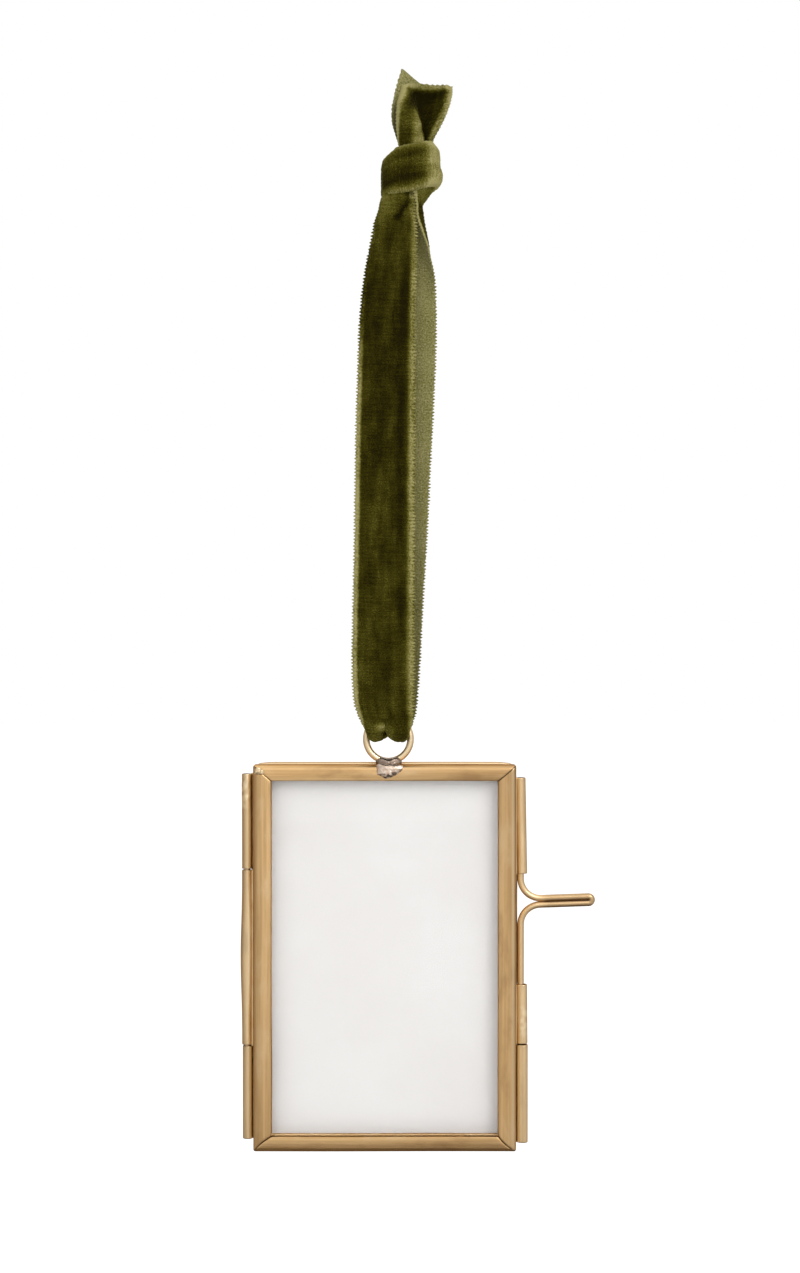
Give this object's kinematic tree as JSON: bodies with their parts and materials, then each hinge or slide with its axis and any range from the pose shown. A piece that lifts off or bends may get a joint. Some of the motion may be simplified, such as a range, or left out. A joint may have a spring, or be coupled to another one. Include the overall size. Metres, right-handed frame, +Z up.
{
  "type": "picture frame ornament",
  "caption": "Small hanging picture frame with two hinged glazed brass leaves, a sliding wire bolt to keep them shut, a soldered ring and a knotted velvet ribbon loop.",
  "frame": {"origin": "the hanging point, inside the ribbon loop just under its knot", "axes": "+Z up, +X to the right of someone looking at the front, the front faces -Y"},
  "size_m": [0.0729, 0.0116, 0.2226],
  "materials": {
    "brass": "aged satin brass",
    "solder": "dull solder",
    "glass": "clear",
    "card": "plain white card",
    "velvet": "olive velvet"
  },
  "bodies": {
    "ribbon": {"velvet_ribbon": "velvet"},
    "front_leaf": {"front_rail_top": "brass", "front_rail_bottom": "brass", "front_stile_left": "brass", "front_stile_right": "brass", "front_glass": "glass", "insert_card": "card", "hinge_knuckle_middle": "brass", "bolt_guide_upper": "brass", "bolt_guide_lower": "brass", "hanging_ring": "brass", "ring_solder": "solder"},
    "back_leaf": {"back_rail_top": "brass", "back_rail_bottom": "brass", "back_stile_left": "brass", "back_stile_right": "brass", "back_glass": "glass", "hinge_knuckle_top": "brass", "hinge_knuckle_bottom": "brass", "hinge_pin": "brass", "bolt_keeper": "brass"},
    "bolt": {"clasp_bolt": "brass"}
  },
  "joints": [
    {"name": "frame_swing", "type": "hinge", "parent": "ribbon", "child": "front_leaf", "pos_m": [-0.0022, 0, -0.105], "axis": [1, 0, 0], "range_deg": [-30, 30]},
    {"name": "leaf_hinge", "type": "hinge", "parent": "front_leaf", "child": "back_leaf", "pos_m": [-0.0314, 0.0012, -0.1545], "axis": [0, 0, 1], "range_deg": [0, 225]},
    {"name": "bolt_slide", "type": "slide", "parent": "front_leaf", "child": "bolt", "axis": [0, 0, 1], "range_m": [-0.0117, 0]}
  ]
}
